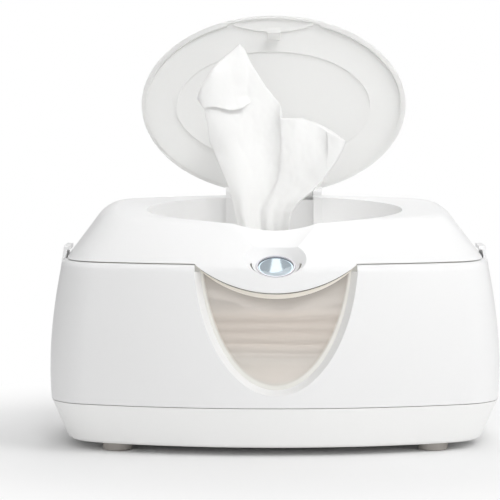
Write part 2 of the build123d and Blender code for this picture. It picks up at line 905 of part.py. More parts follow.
# ------------------------------------------------------------------ top cover
side_inset = cover_wall / sin(radians(side_slope))
front_inset = cover_wall / sin(radians(front_slope))
with BuildPart() as cover_inner:
    loft(
        [
            cover_seam(seam_level, side_inset, front_inset),
            deck_outline(cover_wall, cover_wall / 2),
        ],
        ruled=True,
    )
    fillet(cover_inner.faces().sort_by(Axis.Z)[-1].edges(), deck_edge_radius - cover_wall)

# The apron carries the cover's front face round the tub's top edge and down the window.
apron_low = tub_top - apron_reach
meeting = seam_level - cover_front_draw_in * tan(radians(front_slope))
inner_meeting = meeting - cover_wall * tan(radians((90 - front_slope) / 2))
with BuildPart() as apron_outer:
    loft(
        [
            tub_outline(apron_low, upper_draw_in, apron_low_draw),
            tub_outline(meeting, top_draw_in, top_end_draw_in),
            cover_seam(seam_level, 0, 0),
        ],
        ruled=True,
    )
    front_edges = apron_outer.edges().filter_by(lambda e: abs((e @ 0).Z - meeting) < 0.01)
    fillet(front_edges.filter_by(lambda e: abs((e @ 0).Z - (e @ 1).Z) < 0.01).sort_by(Axis.Y)[0], rim_radius)

with BuildPart() as cover_envelope:
    add(apron_outer.part)
    add(cover_form.part)

with BuildPart() as apron_hollow:
    loft(
        [
            tub_outline(apron_low, upper_draw_in, apron_low_draw, cover_wall),
            tub_outline(inner_meeting, top_draw_in, top_end_draw_in, cover_wall),
            cover_seam(seam_level, side_inset, front_inset),
        ],
        ruled=True,
    )

with BuildPart() as apron:
    extrude(smile(apron_half_width, apron_drop, seam_level), amount=tub_depth)
    add(apron_outer.part, mode=Mode.INTERSECT)
    add(apron_hollow.part, mode=Mode.SUBTRACT)

housing_radius = ring_radius + housing_wall
well_radius = button_radius + button_well
above_ramp = 9.0
with BuildPart() as button_housing:
    add(ramp_round(0, 0, housing_radius, housing_low, above_ramp - 1))
    add(ramp_round(0, 0, well_radius, housing_low + housing_floor, above_ramp), mode=Mode.SUBTRACT)
    slider_run = (button_radius - 2, housing_radius + 6)
    slider_way = (slider_low - gap, slider_high + gap)
    add(ramp_block(slider_half_width + gap, slider_run, slider_way), mode=Mode.SUBTRACT)
    stem_way = (housing_low - 1, 0)
    add(ramp_block(stem_half_width + gap, (-1, stem_back + 2 * gap), stem_way), mode=Mode.SUBTRACT)

with BuildPart() as button_seat:
    add(ramp_round(0, 0, housing_radius, -ring_depth - 2, above_ramp - 1))
    add(ramp_round(0, 0, well_radius, -ring_depth - 3, above_ramp), mode=Mode.SUBTRACT)

# The filler turns the cover's thin front into a solid bed for the scoop and the recess.
with BuildPart() as ramp_filler:
    add(ramp_block(scoop_half_width + 4, (-4, nose_reach + 2), (slab_height, above_ramp)))
    add(button_seat.part)
    add(cover_form.part, mode=Mode.INTERSECT)

# The guide ends where the slider's riser stops when the button is fully pressed.
guide_end = riser_start - button_travel - gap
guide_start = guide_end - guide_length
guide_run = (guide_start - 1, guide_end + 1)
guide_way = (slider_low - gap / 2, slider_high + gap / 2)
bar_way = (slider_high + guide_bar, slab_height)
with BuildPart() as slider_guide:
    add(ramp_block(slider_half_width + guide_wall, (guide_start, guide_end), (guide_low, slab_height)))
    add(ramp_block(slider_half_width + gap, guide_run, guide_way), mode=Mode.SUBTRACT)
    add(ramp_block(slider_half_width + gap, guide_run, bar_way), mode=Mode.SUBTRACT)

with BuildPart() as housing:
    add(button_housing.part)
    add(cover_envelope.part, mode=Mode.INTERSECT)

well_height = 60.0
well_plane = Plane.XY.offset(well_floor)
well_prism = extrude(oval(well_plane, 0, well_centre_y, well_half_width, well_half_depth), amount=well_height)
with BuildPart() as well_skirt:
    extrude(
        oval(well_plane, 0, well_centre_y, well_half_width + well_wall, well_half_depth + well_wall),
        amount=well_height,
    )
    add(cover_form.part, mode=Mode.INTERSECT)

# The cover's closed ends stand behind the side latches' hooks.
latch_block = from_latch(
    [(-6.6, seam_gap), (latch_pivot_margin, seam_gap), (latch_pivot_margin, 9.9), (-6.6, 9.9)]
)
with BuildPart() as cover_bosses:
    add(posts(cover_screw_places, well_floor, boss_radius, well_height))
    for side in (1, -1):
        add(end_shape(latch_block, latch_pin_end, side))
    add(cover_form.part, mode=Mode.INTERSECT)

trough_low = lid_pivot_z - trough_drop
trough_half = hinge_half_width - hinge_ear
trough_back = lid_pivot_y + lid_knuckle_radius + trough_play
with BuildPart() as trough_pad:
    add(
        block(
            (-hinge_half_width, lid_pivot_y - pad_reach, trough_low - trough_wall),
            (hinge_half_width, trough_back + pad_back_wall, lid_pivot_z + trough_reach),
        )
    )
    add(cover_form.part, mode=Mode.INTERSECT)


def scoop_section(slope, half_width):
    """The shallow finger scoop's cross-section at a distance up the ramp."""
    y, z = on_ramp(slope, 0)
    tilt = radians(ramp_tilt)
    with BuildSketch(Plane(origin=(0, y, z), x_dir=(-1, 0, 0), z_dir=(0, cos(tilt), sin(tilt)))) as drawn:
        with BuildLine():
            left, right = (-half_width, scoop_edge), (half_width, scoop_edge)
            above = scoop_edge + above_ramp
            ThreePointArc(left, (0, scoop_floor), right)
            Polyline(right, (half_width, above), (-half_width, above), left)
        make_face()
    return drawn.sketch


scoop = loft(
    [scoop_section(scoop_bottom, scoop_neck_half_width), scoop_section(scoop_top + 4, scoop_half_width)],
    ruled=True,
)
recess = ramp.location * Pos(0, 0, recess_floor) * Cone(
    ring_radius + gap,
    ring_radius + gap + recess_slope * above_ramp,
    above_ramp,
    align=(Align.CENTER, Align.CENTER, Align.MIN),
)
catch_pocket = from_latch(
    [
        (-2.0, -gap),
        (latch_outside, -gap),
        (latch_outside, 7.7),
        (-4.2, 7.7),
        (-4.2, ledge_rise),
        (-2.0, ledge_rise),
    ]
)
with BuildPart() as top_cover:
    add(cover_form.part)
    add(cover_inner.part, mode=Mode.SUBTRACT)
    add(apron.part)
    add(ramp_filler.part)
    add(housing.part)
    add(slider_guide.part)
    add(well_skirt.part)
    add(cover_bosses.part)
    add(trough_pad.part)
    add(well_prism, mode=Mode.SUBTRACT)
    add(scoop, mode=Mode.SUBTRACT)
    add(recess, mode=Mode.SUBTRACT)
    add(ramp_round(0, 0, ring_radius + pin_clearance, -ring_depth, above_ramp), mode=Mode.SUBTRACT)
    nose_run = (riser_start + riser_length, nose_reach + 4)
    nose_way = (nose_low - gap, nose_high + gap)
    add(ramp_block(nose_half_width + gap, nose_run, nose_way), mode=Mode.SUBTRACT)
    ear_back = lid_pivot_y + lid_knuckle_radius
    ear_front = lid_pivot_y - lid_knuckle_radius
    for side in (1, -1):
        ear = sorted((side * trough_half, side * hinge_half_width))
        add(block((ear[0], lid_pivot_y - ear_reach, well_floor), (ear[1], ear_back, trough_low + 1)))
        add(block((ear[0], ear_front, trough_low), (ear[1], ear_back, lid_pivot_z)))
        add(rod(ear[0], ear[1], lid_pivot_y, lid_pivot_z, lid_knuckle_radius))
        add(end_shape(catch_pocket, latch_half_width + gap, side), mode=Mode.SUBTRACT)
        arm = sorted((side * cover_hinge_ends[0], side * (cover_hinge_ends[1] - gap / 2)))
        add(rod(arm[0], arm[1], cover_pivot_y, cover_pivot_z, cover_knuckle_radius))
        arm_front = cover_pivot_y - 2 * cover_knuckle_radius - 1
        arm_top = cover_pivot_z + cover_knuckle_radius
        add(block((arm[0], arm_front, seam_level), (arm[1], cover_pivot_y, arm_top)))
    trough_front = lid_pivot_y - trough_reach
    trough_top = lid_pivot_z + trough_reach
    trough = block((-trough_half, trough_front, trough_low), (trough_half, trough_back, trough_top))
    add(trough, mode=Mode.SUBTRACT)
    pin_hole = lid_pin_radius + pin_clearance
    add(rod(-hinge_half_width, hinge_half_width, lid_pivot_y, lid_pivot_z, pin_hole), mode=Mode.SUBTRACT)
    pin_hole = cover_pin_radius + pin_clearance
    add(rod(-hinge_end - 1, hinge_end + 1, cover_pivot_y, cover_pivot_z, pin_hole), mode=Mode.SUBTRACT)
    screw_hole = screw_radius + pin_clearance
    add(posts(cover_screw_places, well_floor, screw_hole, cover_screw_length + 1), mode=Mode.SUBTRACT)
save(top_cover, "top_cover")

# ------------------------------------------------------------------ cover liner and its ring
plate_low = well_floor - well_floor_thickness
with BuildPart() as cover_liner:
    plate = outline(
        Plane.XY.offset(plate_low),
        tub_width / 2 - liner_plate_side_margin,
        liner_plate_front_margin - tub_depth / 2,
        tub_depth / 2 - liner_plate_back_margin,
        deck_side_bow,
        deck_corner_radius,
        deck_corner_radius,
        deck_corner_radius - 2,
    )
    extrude(plate, amount=well_floor_thickness)
    liner_notch = block(
        (-notch_width, -tub_depth / 2, plate_low - 1),
        (notch_width, well_front - 4, well_floor + 1),
    )
    add(liner_notch, mode=Mode.SUBTRACT)
    ring_hole = oval(
        Plane.XY.offset(plate_low - 1),
        0,
        well_centre_y,
        orifice_half_width + orifice_lip,
        orifice_half_depth + orifice_lip,
    )
    plate_through = well_floor_thickness + 2
    extrude(ring_hole, amount=plate_through, mode=Mode.SUBTRACT)
    add(posts(cover_screw_places, plate_low - 1, screw_radius + gap / 2, plate_through), mode=Mode.SUBTRACT)
save(cover_liner, "cover_liner")


def ring_oval(level, grow):
    """The dispensing ring's oval at a level, grown from the slot."""
    half_width = orifice_half_width + grow
    half_depth = orifice_half_depth + grow
    return oval(Plane.XY.offset(level), 0, well_centre_y, half_width, half_depth)


with BuildPart() as dispensing_ring:
    extrude(ring_oval(plate_low, orifice_lip - 2 * pin_clearance), amount=well_floor_thickness)
    extrude(ring_oval(well_floor, orifice_ring), amount=ring_thickness)
    extrude(ring_oval(plate_low - 1, 0), amount=4 * ring_thickness, mode=Mode.SUBTRACT)
save(dispensing_ring, "dispensing_ring")

cover_screw = screw(plate_low, cover_screw_length)
with BuildPart() as cover_screws:
    with Locations(*at(cover_screw_places, 0)):
        add(cover_screw)
save(cover_screws, "cover_screws")

# ------------------------------------------------------------------ pins
with BuildPart() as cover_hinge_pin:
    add(rod(-hinge_end, hinge_end, cover_pivot_y, cover_pivot_z, cover_pin_radius))
save(cover_hinge_pin, "cover_hinge_pin")

with BuildPart() as lid_hinge_pin:
    add(rod(-hinge_half_width, hinge_half_width, lid_pivot_y, lid_pivot_z, lid_pin_radius))
save(lid_hinge_pin, "lid_hinge_pin")

with BuildPart() as latch_pins:
    for side in (1, -1):
        pin_end = latch_pin_end - 2 * pin_clearance
        add(rod_back(side * latch_pivot_x, latch_pivot_z, -pin_end, pin_end, latch_pin_radius))
save(latch_pins, "latch_pins")

# ------------------------------------------------------------------ side latches
hook_low = ledge_rise + 2 * pin_clearance
latch_profile = from_latch(
    [
        (3.8, -16.6),
        (2.0, -4.2),
        (0.3, 7.1),
        (-3.4, 6.9),
        (-3.4, hook_low),
        (-1.6, hook_low),
        (-0.4, -4.2),
        (1.0, -12.1),
        (1.0, -16.6),
    ]
)
for name, side in (("side_latch_right", 1), ("side_latch_left", -1)):
    with BuildPart() as side_latch:
        pin_x = side * latch_pivot_x
        pin_hole = latch_pin_radius + pin_clearance
        add(end_shape(latch_profile, latch_half_width, side))
        add(rod_back(pin_x, latch_pivot_z, -latch_half_width, latch_half_width, latch_knuckle_radius))
        add(rod_back(pin_x, latch_pivot_z, -latch_half_width, latch_half_width, pin_hole), mode=Mode.SUBTRACT)
    save(side_latch, name)

# ------------------------------------------------------------------ button, ring, springs, slider
with BuildPart() as button_bezel:
    add(ramp_round(0, 0, ring_radius, -ring_depth, ring_proud))
    add(ramp_round(0, 0, button_radius + 2 * pin_clearance, -ring_depth - 1, above_ramp), mode=Mode.SUBTRACT)
    fillet(button_bezel.edges().filter_by(GeomType.CIRCLE).sort_by(lambda e: e.center().Z)[-2:], ring_edge)
save(button_bezel, "button_bezel")

button_low = button_top - button_thickness
dish_radius = ((button_radius - dish_margin) ** 2 + button_dish**2) / (2 * button_dish)
dish = ramp.location * Pos(0, 0, button_top + dish_radius - button_dish) * Sphere(dish_radius)
stem = slab(
    ramp_side,
    [
        (-button_low - wedge_offset, button_low + 0.1),
        (stem_back, button_low + 0.1),
        (stem_back, slider_low),
        (-slider_low - wedge_offset, slider_low),
    ],
    stem_half_width,
)
with BuildPart() as release_button:
    add(ramp_round(0, 0, button_radius, button_low, button_top))
    add(dish, mode=Mode.SUBTRACT)
    add(stem)
save(release_button, "release_button")

coil_low = housing_low + housing_floor + button_wire + coil_play
coil_high = button_low - button_wire - coil_play
coil_height = coil_high - coil_low
with BuildPart() as button_spring:
    for x in (-button_coil_x, button_coil_x):
        seat = Plane(ramp.location * Pos(x, 0, coil_low))
        add(coil(seat, coil_height / button_turns, coil_height, button_coil, button_wire))
save(button_spring, "button_spring")

slider_slot = slab(
    ramp_side,
    [
        (-slider_high - wedge_offset - slot_play, slider_high + 0.1),
        (stem_back + button_travel + gap, slider_high + 0.1),
        (stem_back + button_travel + gap, slider_low - 0.1),
        (-slider_low - wedge_offset - slot_play + 0.2, slider_low - 0.1),
    ],
    stem_half_width + gap / 2,
)
with BuildPart() as latch_slider:
    add(ramp_block(slider_half_width, (slider_front, riser_start + riser_length), (slider_low, slider_high)))
    add(ramp_block(nose_half_width, (riser_start, riser_start + riser_length), (slider_low, nose_high)))
    add(ramp_block(nose_half_width, (riser_start, nose_reach), (nose_low, nose_high)))
    add(slider_slot, mode=Mode.SUBTRACT)
save(latch_slider, "latch_slider")

# ------------------------------------------------------------------ lid, drawn open
deck_drop = lid_pivot_proud * cos(radians(deck_tilt))
rim_low = deck_drop - lid_lift
lid_top = rim_low - lid_height
inner_face = lid_top + lid_thickness

# The catch hangs from the lid's front and hooks under the slider's nose when the lid is shut.
nose_y, nose_z = on_ramp(nose_reach, nose_low)
catch_front = nose_y + gap
catch_under = nose_z - catch_drop
catch_root = deck_height + catch_front * deck_rise + (lid_lift + lid_height - lid_thickness / 2)
hook = [
    (catch_front + catch_thickness, catch_root),
    (catch_front, catch_root),
    (catch_front, catch_under),
    (catch_front - catch_reach, catch_under),
    (catch_front - catch_reach, catch_under - catch_thickness),
    (catch_front + catch_thickness, catch_under - catch_thickness),
]
catch = slab(Plane.YZ, [opened(y, z) for y, z in hook], catch_half_width)
lip_y = lid_middle + lid_half_depth - lip_depth
with BuildPart() as lip_rib:
    with BuildSketch(lid_plane.offset(lid_top + lid_thickness / 2)):
        with BuildLine():
            ThreePointArc((-lip_half_width, lip_y + lip_bow), (0, lip_y), (lip_half_width, lip_y + lip_bow))
        trace(line_width=lip_wall)
    extrude(amount=rim_low - lid_top - lid_thickness / 2)



def lid_oval(level, side, end):
    """An oval about the lid's middle, drawn in from the lid's edge at its sides and ends."""
    return oval(lid_plane.offset(level), 0, lid_middle, lid_half_width - side, lid_half_depth - end)


with BuildPart() as lid_bead:
    bead_root = lid_top + lid_thickness / 2
    extrude(lid_oval(bead_root, bead_side_margin, bead_end_margin), amount=lid_thickness / 2 + bead_height)
    bead_inside = lid_oval(lid_top, bead_side_margin + bead_width, bead_end_margin + bead_width)
    extrude(bead_inside, amount=2 * lid_height, mode=Mode.SUBTRACT)

lid_reach = hinge_half_width - hinge_ear - gap
with BuildPart() as lid:
    extrude(lid_oval(lid_top, 0, 0), amount=lid_height)
    fillet(lid.faces().sort_by(lambda f: f.center().Y)[-1].edges(), lid_edge_radius)
    extrude(lid_oval(inner_face, lid_thickness, lid_thickness), amount=lid_height, mode=Mode.SUBTRACT)
    add(lid_bead.part)
    add(lip_rib.part)
    add(catch)
    for side in (1, -1):
        ear_gap = sorted((side * lid_reach, side * (hinge_half_width + gap)))
        notch_end = lid_knuckle_radius + 2 * gap
        notch = block((ear_gap[0], -2 * notch_end, -2 * lid_height), (ear_gap[1], notch_end, 2 * lid_height))
        add(lid_plane.location * notch, mode=Mode.SUBTRACT)
        barrel = sorted((side * spring_bay, side * lid_reach))
        add(rod(barrel[0], barrel[1], lid_pivot_y, lid_pivot_z, lid_knuckle_radius))
    add(
        rod(-spring_bay, spring_bay, lid_pivot_y, lid_pivot_z, lid_knuckle_radius + gap),
        mode=Mode.SUBTRACT,
    )
    add(
        rod(-lid_reach, lid_reach, lid_pivot_y, lid_pivot_z, lid_pin_radius + pin_clearance),
        mode=Mode.SUBTRACT,
    )
save(lid, "lid")

# The soft seal stands inside the lid's rim; it stops either side of the hinge and the lip.
seal_outer = lid_thickness + pin_clearance
seal_inner = seal_outer + lid_seal_width
hinge_clear = hinge_half_width + 2
lip_clear = lip_half_width + 4
with BuildPart() as lid_seal:
    seal_height = deck_drop - inner_face - 2 * pin_clearance
    extrude(lid_oval(inner_face, seal_outer, seal_outer), amount=seal_height)
    extrude(lid_oval(lid_top, seal_inner, seal_inner), amount=3 * lid_height, mode=Mode.SUBTRACT)
    hinge_space = block((-hinge_clear, -lid_middle, -lid_middle), (hinge_clear, lid_middle / 3, lid_middle))
    add(lid_plane.location * hinge_space, mode=Mode.SUBTRACT)
    lip_space = block((-lip_clear, 4 * lid_middle / 3, -lid_middle), (lip_clear, 3 * lid_middle, lid_middle))
    add(lid_plane.location * lip_space, mode=Mode.SUBTRACT)
save(lid_seal, "lid_seal")

spring_height = 2 * spring_bay - 2 * gap - 2 * spring_wire
spring_start = Plane(origin=(-spring_height / 2, lid_pivot_y, lid_pivot_z), x_dir=(0, 1, 0), z_dir=(1, 0, 0))
with BuildPart() as lid_spring:
    add(coil(spring_start, spring_height / spring_turns, spring_height, spring_radius, spring_wire))
save(lid_spring, "lid_spring")

# ------------------------------------------------------------------ the wipe pulled up for use
# Two folds of one cloth: each is a wavy upright sheet cut to the fold's own outline.
# Heights are above the well's floor; each fold starts down on the stack.
fold_start = stack_top - well_floor
tall_fold = [
    (-20, fold_start), (-20.4, 13.4), (-23.6, 29.9), (-27.3, 41.8), (-33.6, 54), (-40.5, 68.2),
    (-41.8, 80.7), (-47.4, 96.7), (-44.3, 104.6), (-36.9, 115.3), (-21.4, 129.1), (-15.4, 117.8),
    (-9.1, 104.6), (-2.2, 93.9), (5.1, 85.1), (8.5, 13.4), (8, fold_start),
]
wide_fold = [
    (-18, fold_start), (-18, 22.4), (-2.2, 82.9), (17.2, 82.9), (24.1, 80.1), (34.8, 74.4), (44.2, 69),
    (42.4, 62.5), (36.1, 51.9), (30.4, 43.1), (22.9, 36.2), (14.7, 29.9), (9.7, 24.2), (8, 13.4),
    (8, fold_start),
]
tall_wave = [(-50, 6), (-38, 2), (-26, 7), (-14, 3), (-2, 7), (12, 3)]
wide_wave = [(-24, -2), (-8, -5), (8, -1), (22, -6), (36, -1), (48, -5)]


def cloth_fold(fold, wave):
    """A wavy upright sheet, seen from above, trimmed to an outline seen from the front."""
    with BuildPart() as made:
        with BuildSketch(Plane.XY.offset(stack_top)):
            with BuildLine():
                Spline(*wave)
            trace(line_width=cloth_thickness)
        extrude(amount=tub_width)
    return made.part & slab(Plane.XZ, [(x, well_floor + up) for x, up in fold], orifice_half_width)


with BuildPart() as pulled_wipe:
    add(cloth_fold(tall_fold, tall_wave))
    add(cloth_fold(wide_fold, wide_wave))
save(pulled_wipe, "pulled_wipe")
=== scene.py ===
import math

import bpy
from mathutils import Euler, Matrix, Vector, noise


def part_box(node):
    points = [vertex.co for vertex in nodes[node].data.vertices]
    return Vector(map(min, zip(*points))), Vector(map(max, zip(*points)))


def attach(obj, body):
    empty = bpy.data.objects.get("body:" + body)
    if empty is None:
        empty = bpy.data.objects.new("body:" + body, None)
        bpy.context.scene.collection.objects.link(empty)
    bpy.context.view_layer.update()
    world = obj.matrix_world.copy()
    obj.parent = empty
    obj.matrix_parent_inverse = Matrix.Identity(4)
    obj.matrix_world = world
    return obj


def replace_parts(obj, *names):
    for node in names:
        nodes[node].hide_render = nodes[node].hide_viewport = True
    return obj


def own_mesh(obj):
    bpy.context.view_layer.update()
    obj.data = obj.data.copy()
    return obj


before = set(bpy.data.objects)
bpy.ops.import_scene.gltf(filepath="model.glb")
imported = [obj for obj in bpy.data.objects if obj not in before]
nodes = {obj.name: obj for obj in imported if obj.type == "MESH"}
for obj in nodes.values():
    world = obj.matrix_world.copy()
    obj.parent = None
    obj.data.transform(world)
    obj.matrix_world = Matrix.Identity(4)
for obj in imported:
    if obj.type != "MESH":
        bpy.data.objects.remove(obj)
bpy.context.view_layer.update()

# ================================================================== sizes
# Metres and degrees, apart from the two sections on cloth, which are in millimetres and radians.
MM_IN_METRE = 1000

# ---- The camera stands level with the raised lid, 1.57 m in front, and looks slightly down ----
CAMERA_PLACE = (-0.0154, -1.572, 0.223)
CAMERA_PITCH_DOWN = 3.82
CAMERA_REACH = 50.0
# Its focal length and the width of its sensor, both in millimetres.
CAMERA_LENS = 180.9
CAMERA_SENSOR = 36.0

# ---- The stack of wipes below the one that stands up through the dispensing ring, in metres ----
# Heights of the foot and the top of the stack of wipes below it.
STACK_LOW, STACK_TOP = (corner.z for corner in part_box("wipe_stack"))

# ---- The window pane: its oval, and the circle whose lower arc bounds the band along its top ----
PANE_HALF_WIDTH = 0.0456
PANE_HALF_HEIGHT = 0.0879
PANE_CENTRE = 0.1296
BAND_RADIUS = 0.0696
BAND_CENTRE = 0.1646
# Its edge turns from clear to frosted between these squared shares of the oval.
PANE_CLEAR_TO = 0.92
PANE_FROSTED_FROM = 0.99
# It turns whiter from the first height down to the second, by up to the last share: painted light for the
# brighter lower part of the window.
PANE_PAINTED_LIGHT_TOP = 0.064
PANE_PAINTED_LIGHT_LOW = 0.040
PANE_PAINTED_LIGHT_SHARE = 0.62
# Share of what lies behind that each of its faces hides even where it is clear.
PANE_LEAST_HIDDEN = 0.3

# ---- Surfaces: depth of the fine grain, and the angle above which an edge stays sharp ----
GRAIN_DEPTH = 0.0002
SHARP_ANGLE = 40
WHITE = (1, 1, 1, 1)
FLOOR_COLOUR = (0.96, 0.96, 0.96, 1)
# Colours of the stack from its foot up, painted light and shade: near white low down, a painted shade of
# beige higher up, and a painted highlight on the top wipe. Height, then red, green and blue in bytes.
STACK_PAINTED_SHADES = [
    (0.056, (254, 252, 248)), (0.066, (249, 238, 227)), (0.081, (248, 236, 225)), (0.086, (254, 250, 246)),
]
# How light its cloth stays in the painted shade of the grooves, and the strength of a painted glow that
# stands for light coming through the shell.
FOLD_SHADE = 0.66
PAINTED_GLOW = 0.2

# ---- The wipe pulled up for use. A place across it is a share, from 0 on its left to 1 ----
# Left and right limits of the cloth at each height, then its top edge from left to right.
LEFT_EDGE = [
    (86, -14), (118, -17.5), (131, -22.5), (147, -26), (160, -29.5), (172, -34.5), (186, -40.5),
    (198, -42), (207, -43.5), (214, -47.5),
]
RIGHT_EDGE = [
    (86, 8), (118, 8), (131, 8.5), (142, 9.8), (148, 14.5), (154, 22.5), (161, 30), (170, 36),
    (180, 42), (187, 44.5),
]
TOP_EDGE = [
    (0.0, 213), (0.03, 221), (0.1, 231), (0.2, 240), (0.28, 246.6), (0.31, 244), (0.36, 233),
    (0.43, 220), (0.5, 210), (0.54, 204), (0.575, 200.5), (0.7, 200.5), (0.77, 198), (0.86, 193),
    (1.0, 186.5),
]
# How far behind the middle of the tub it stands, and how thick it is.
WIPE_Y = 2.0
CLOTH_THICKNESS = 0.5
# Heights between which the ring's gathers die out, and between which the folds reach their full depth.
GATHERS_END = (120, 165)
FOLDS_DEEPEN = (110, 200)
# Waves from front to back: their depth at the ring and high up, the heights between which it changes,
# their number across, their phase at the height named first, and its change per millimetre above that.
WAVES_FROM = 86
WAVES = [
    (3.0, 5.2, FOLDS_DEEPEN, 0.95, 0.62 * 2 * math.pi, 0.008),
    (1.6, 0.9, GATHERS_END, 2.3, 0.9, 0.016),
    (1.1, 0.0, GATHERS_END, 4.6, 0.4, 0.0),
]
# Crumples from front to back: depth at the ring and high up, size and seed. Each is taller than wide.
CRUMPLES = [(0.5, 2.0, 17, 3.1), (0.3, 0.6, 6.5, 8.4), (0.0, 0.25, 2.6, 1.7)]
CRUMPLE_STRETCH = 1.5
# The other crumples have one depth, a size and a seed. This one goes sideways.
SIDEWAYS_CRUMPLE = (0.7, 12, 5.7)
# The peak curls forward and the side fold's end curls back: how far, and between which places across and
# which heights the curl fades out or grows.
PEAK_CURL = 11
PEAK_LEFT_OF = (0.3, 0.6)
PEAK_HEIGHTS = (178, 250)
SIDE_CURL = 8
SIDE_RIGHT_OF = (0.62, 1.0)
SIDE_HEIGHTS = (140, 188)
# The pleat: its place, the half widths of its turn and of its reach as shares, the heights between which
# it opens, how far one side lies over and in front of the other, and the share of that left far away.
PLEAT_AT = 0.53
PLEAT_TURN = 0.03
PLEAT_REACH = 0.13
PLEAT_OPENS = (135, 196)
PLEAT_OVERLAP = 4.2
PLEAT_STEP = 2.4
PLEAT_FAR = 0.35
# The back layer: its top edge is lower and waved.
BACK_DROP = 1.6
BACK_WAVE = 2.6
BACK_WAVE_COUNT = 1.4
BACK_WAVE_START = 0.3
# Its gap behind the front layer, what the gap gains to the right, low down and high up, and its own shift.
BACK_GAP_LEFT = 0.9
BACK_GAP_LOW = 0.3
BACK_GAP_HIGH = 1.4
BACK_GAP_HEIGHTS = (125, 180)
BACK_GAP_RIGHT_OF = (0.0, 0.3)
BACK_SHIFT = 0.5
# The corner flap: how far across it goes, its lower edge with its wave and its rise at the right-hand end.
FLAP_END = 0.36
FLAP_LOW = 206.5
FLAP_WAVE = 1.2
FLAP_WAVE_TURN = 9
FLAP_RISE = 3.0
FLAP_RISE_PART = (0.75, 1.0)
# How far it lifts off the cloth, over which length, and where along it the lift ends.
FLAP_LIFT = 2.6
FLAP_LIFT_LENGTH = 3
FLAP_LIFT_ENDS = (0.72, 1.0)
FLAP_LEAST_LIFT = 0.3
FLAP_CRUMPLE = (0.7, 8, 12.6)
# How far it stands out on the left, fading over a length, and back into the cloth on the right.
FLAP_OUT = 0.9
FLAP_OUT_LENGTH = 9
FLAP_BACK = 1.2
FLAP_BACK_PART = (0.85, 1.0)
# The hem on the right: where across and how low it starts, and how its fold lifts.
HEM_START = 0.85
HEM_LOW = 168.0
HEM_DROP = 0.4
HEM_TAPER = 12
HEM_LIFT = 1.9
HEM_LIFT_PART = 0.25
HEM_LEAST_LIFT = 0.25
HEM_CRUMPLE = (0.4, 5, 2.2)
# Cells across and along each sheet of the cloth.
STANDING_CELLS = (130, 105)
BACK_CELLS = (90, 75)
FLAP_CELLS = (50, 36)
HEM_CELLS = (18, 28)

# ---- The stack of folded wipes ----
# Layer heights from the bottom up, in proportion: flat ones below, and loose soft ones above.
LAYER_HEIGHTS = [3.4, 3.0, 3.6, 3.0, 3.3, 2.8, 3.4, 5.8, 7.4, 6.2, 8.2]
# Rings of points up the edge of a layer, and how far it draws in at the grooves, for each mm of height.
LAYER_RINGS = 7
LAYER_GROOVE = 0.3
# Radius of the corners, steps round each of them, and the spacing of the points along the sides.
STACK_CORNER = 10
CORNER_STEPS = 12
RING_SPACING = 3
# The edge draws in by a mean depth, give or take a bump of a size, and each layer waves up and down.
EDGE_INSET = 0.5
EDGE_BUMP = 0.9
EDGE_BUMP_SIZE = 26
EDGE_SEED = 4.7
LAYER_WAVE = 0.9
LAYER_WAVE_SIZE = 34
LAYER_SEED = 1.3
# The front edge of the top wipe, pulled up towards the ring: place across and height. Then how far
# forward and back the wipe reaches, its height at the ring, and its cells across and along.
SAG_EDGE = [(-66, 96), (-46, 97.5), (-26, 94), (-12, 88), (0, 85.5), (12, 86.5), (26, 90), (46, 95), (66, 96)]
SAG_FRONT = -58.0
SAG_BACK = -16.0
SAG_TOP = 101.0
SAG_CELLS = (90, 40)
# Share of its width that it loses on the way back, and the power by which it rises.
SAG_NARROWING = 0.5
SAG_RISE_POWER = 1.3
# Its front edge rolls down by a depth over the first share of its length.
SAG_ROLL = 3.5
SAG_ROLL_PART = 0.08
# It waves and crumples up and down behind that edge, and crumples from front to back.
SAG_FREE = (0.0, 0.2)
SAG_WAVE = 1.1
SAG_WAVE_TURN = 0.21
SAG_WAVE_START = 2.4
SAG_WAVE_LOSS = 0.5
SAG_CRUMPLE = (1.3, 11, 6.6)
SAG_CRUMPLE_LENGTH = 60
SAG_SHIFT = (0.9, 14, 9.9)
SAG_SHIFT_LENGTH = 20
# Painted light and shade, 1 where the cloth is painted as lit and 0 where a groove is painted in shade: the
# power that places a layer's lightest painted line, and how far and over which part of its length the top
# wipe's painted shade deepens backwards behind its lit front edge.
LAYER_PAINTED_LIGHT_POWER = 1.5
SAG_PAINTED_SHADE = 0.9
SAG_PAINTED_SHADE_FALLS = (0.06, 0.3)

# ---- The floor stays as lit up to the first distance and is plain white from the second ----
FLOOR_SIZE = 24
FLOOR_LIT = 0.11
FLOOR_WHITE = 0.34
# ---- Strength of the white room: as light, as the camera sees it, and as surfaces mirror it ----
ROOM_LIGHT = 0.44
ROOM_SEEN = 1.0
ROOM_MIRRORED = 0.6
# ---- Where most lamps aim ----
TUB_MIDDLE = (0, 0, 0.1)


def camera():
    """The photograph's view."""
    data = bpy.data.cameras.new("camera")
    data.lens = CAMERA_LENS
    data.sensor_width = CAMERA_SENSOR
    data.clip_end = CAMERA_REACH
    made = bpy.data.objects.new("camera", data)
    made.location = CAMERA_PLACE
    made.rotation_euler = Euler((math.radians(90 - CAMERA_PITCH_DOWN), 0, 0))
    bpy.context.scene.collection.objects.link(made)
    bpy.context.scene.camera = made


# ================================================================== shader nodes
# The colour sockets of a mix node, by number: it has others of the same names.
MIX_FIRST = 6
MIX_SECOND = 7
MIX_RESULT = 2


def linear(value):
    """An sRGB byte as a linear value."""
    share = value / 255
    return share / 12.92 if share <= 0.04045 else ((share + 0.055) / 1.055) ** 2.4


def colour(red, green, blue):
    """An sRGB colour in bytes as a linear colour."""
    return (linear(red), linear(green), linear(blue), 1.0)


